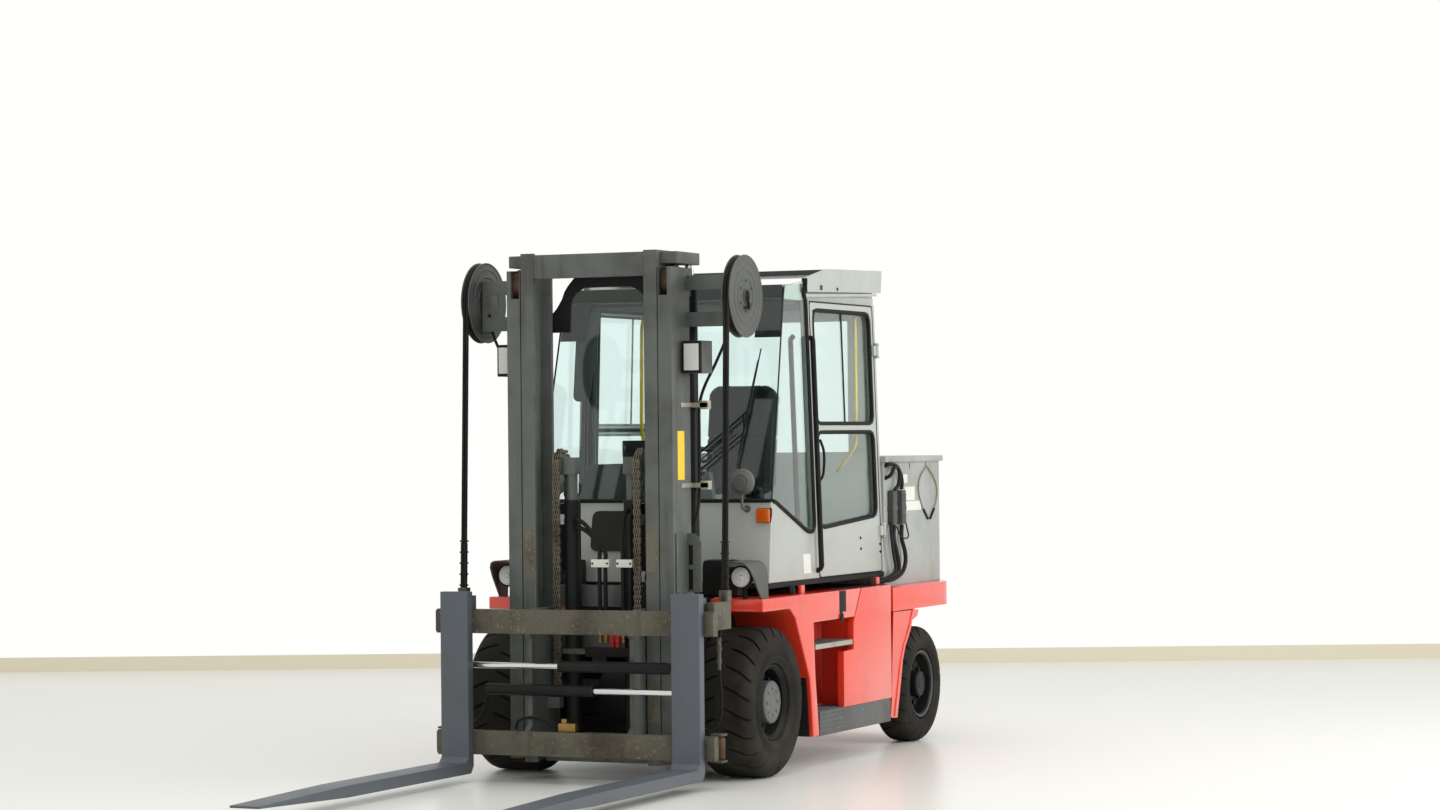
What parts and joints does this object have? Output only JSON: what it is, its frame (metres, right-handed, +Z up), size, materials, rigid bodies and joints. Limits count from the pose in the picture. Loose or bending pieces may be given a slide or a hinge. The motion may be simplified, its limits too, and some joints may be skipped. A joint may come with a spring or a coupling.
{
  "type": "electric counterbalance forklift with closed cab",
  "caption": "Electric counterbalance forklift with a full free-lift mast, fork positioner, closed cab, rear battery box and steered rear wheels.",
  "frame": {"origin": "on the floor under the middle of the truck's length and width, forks included", "axes": "forks point to -Y, +X is the truck's left side, +Z up"},
  "size_m": [1.762, 6.088, 2.943],
  "materials": {
    "red_paint": "gloss red paint",
    "mast_paint": "satin dark grey paint",
    "cab_paint": "satin light grey paint",
    "box_paint": "satin grey paint",
    "black_paint": "black paint",
    "black_plastic": "matte black plastic",
    "worn_steel": "worn steel",
    "chrome_rod": "polished chrome",
    "cast_red": "gloss red paint on cast iron",
    "tyre_rubber": "dusty tyre rubber",
    "rubber": "black rubber",
    "seat_cloth": "dark woven cloth",
    "window": "green tinted glass"
  },
  "bodies": {
    "chassis": {"frame": "black_paint", "fenders": "red_paint", "mudguards": "rubber", "steps": "box_paint", "side_boxes": "red_paint", "side_panels": "red_paint", "counterweight": "cast_red", "battery_box": "box_paint", "drive_axle": "black_paint", "steer_axle": "black_paint", "cab_floor": "black_paint", "cab_mounts": "rubber", "cab_cowl": "cab_paint", "cab_sides": "cab_paint", "cab_rear": "cab_paint", "roof": "cab_paint", "cab_glass": "window", "seat_base": "black_plastic", "seat_cushion": "seat_cloth", "seat_back": "seat_cloth", "steering_column": "black_plastic", "front_lamps": "black_plastic", "mirrors": "black_plastic"},
    "mast_outer": {"outer_uprights": "mast_paint", "outer_ties": "mast_paint", "main_barrels": "mast_paint", "hose_reels": "box_paint", "work_lamps": "black_plastic", "hose_drops": "rubber"},
    "mast_inner": {"inner_uprights": "mast_paint", "inner_ties": "mast_paint", "main_rods": "chrome_rod", "lift_barrels": "mast_paint"},
    "lift_head": {"crosshead": "mast_paint", "chain_tails": "worn_steel", "chain_fronts": "worn_steel"},
    "carriage": {"carriage_bars": "worn_steel", "carriage_plates": "mast_paint", "positioner_barrels": "mast_paint"},
    "fork_left": {"fork_left": "mast_paint", "fork_left_rod": "chrome_rod"},
    "fork_right": {"fork_right": "mast_paint", "fork_right_rod": "chrome_rod"},
    "tilt_barrels": {"tilt_barrels": "mast_paint"},
    "tilt_rods": {"tilt_rods": "chrome_rod"},
    "door_left": {"door_left": "cab_paint", "door_left_glass": "window"},
    "door_right": {"door_right": "cab_paint", "door_right_glass": "window"},
    "knuckle_left": {"knuckle_left": "black_paint"},
    "knuckle_right": {"knuckle_right": "black_paint"},
    "wheel_front_left": {"tyre_front_left": "tyre_rubber", "rim_front_left": "black_paint"},
    "wheel_front_right": {"tyre_front_right": "tyre_rubber", "rim_front_right": "black_paint"},
    "wheel_rear_left": {"tyre_rear_left": "tyre_rubber", "rim_rear_left": "black_paint"},
    "wheel_rear_right": {"tyre_rear_right": "tyre_rubber", "rim_rear_right": "black_paint"}
  },
  "joints": [
    {"name": "mast_tilt", "type": "hinge", "parent": "chassis", "child": "mast_outer", "pos_m": [0, -0.191, 0.33], "axis": [1, 0, 0], "range_deg": [-10, 5]},
    {"name": "tilt_barrel_swing", "type": "hinge", "parent": "chassis", "child": "tilt_barrels", "pos_m": [0, 0.479, 0.7], "axis": [1, 0, 0], "range_deg": [-3, 3]},
    {"name": "tilt_rod_slide", "type": "slide", "parent": "tilt_barrels", "child": "tilt_rods", "axis": [0, -0.9965, 0.0839], "range_m": [-0.09, 0.05]},
    {"name": "mast_lift", "type": "slide", "parent": "mast_outer", "child": "mast_inner", "axis": [0, 0, 1], "range_m": [0, 1.9], "deforming": ["hose_drops"]},
    {"name": "carriage_lift", "type": "slide", "parent": "mast_inner", "child": "carriage", "axis": [0, 0, 1], "range_m": [0, 1.5], "deforming": ["chain_fronts", "hose_drops"]},
    {"name": "lift_head_slide", "type": "slide", "parent": "mast_inner", "child": "lift_head", "axis": [0, 0, 1], "range_m": [0, 0.76]},
    {"name": "fork_left_slide", "type": "slide", "parent": "carriage", "child": "fork_left", "axis": [-1, 0, 0], "range_m": [0, 0.4]},
    {"name": "fork_right_slide", "type": "slide", "parent": "carriage", "child": "fork_right", "axis": [1, 0, 0], "range_m": [0, 0.4]},
    {"name": "steer_left", "type": "hinge", "parent": "chassis", "child": "knuckle_left", "pos_m": [0.6, 2.429, 0.357], "axis": [0, 0, 1], "range_deg": [-60, 60]},
    {"name": "steer_right", "type": "hinge", "parent": "chassis", "child": "knuckle_right", "pos_m": [-0.6, 2.429, 0.357], "axis": [0, 0, 1], "range_deg": [-60, 60]},
    {"name": "door_left_hinge", "type": "hinge", "parent": "chassis", "child": "door_left", "pos_m": [0.7514, 1.952, 1.87513], "axis": [-0.032, 0, 0.9995], "range_deg": [0, 85]},
    {"name": "door_right_hinge", "type": "hinge", "parent": "chassis", "child": "door_right", "pos_m": [-0.7514, 1.952, 1.87513], "axis": [-0.032, 0, -0.9995], "range_deg": [0, 85]},
    {"name": "spin_front_left", "type": "hinge", "parent": "chassis", "child": "wheel_front_left", "pos_m": [0.706, -0.001, 0.421], "axis": [1, 0, 0], "continuous": true},
    {"name": "spin_front_right", "type": "hinge", "parent": "chassis", "child": "wheel_front_right", "pos_m": [-0.706, -0.001, 0.421], "axis": [1, 0, 0], "continuous": true},
    {"name": "spin_rear_left", "type": "hinge", "parent": "knuckle_left", "child": "wheel_rear_left", "pos_m": [0.724, 2.429, 0.357], "axis": [1, 0, 0], "continuous": true},
    {"name": "spin_rear_right", "type": "hinge", "parent": "knuckle_right", "child": "wheel_rear_right", "pos_m": [-0.724, 2.429, 0.357], "axis": [1, 0, 0], "continuous": true}
  ],
  "couplings": [
    {"joint": "tilt_barrel_swing", "follows": "mast_tilt", "ratio": 0.085},
    {"joint": "tilt_rod_slide", "follows": "mast_tilt", "m_per_rad": 0.425},
    {"joint": "lift_head_slide", "follows": "carriage_lift", "ratio": 0.5},
    {"joint": "fork_right_slide", "follows": "fork_left_slide", "ratio": 1},
    {"joint": "steer_right", "follows": "steer_left", "ratio": 1}
  ]
}
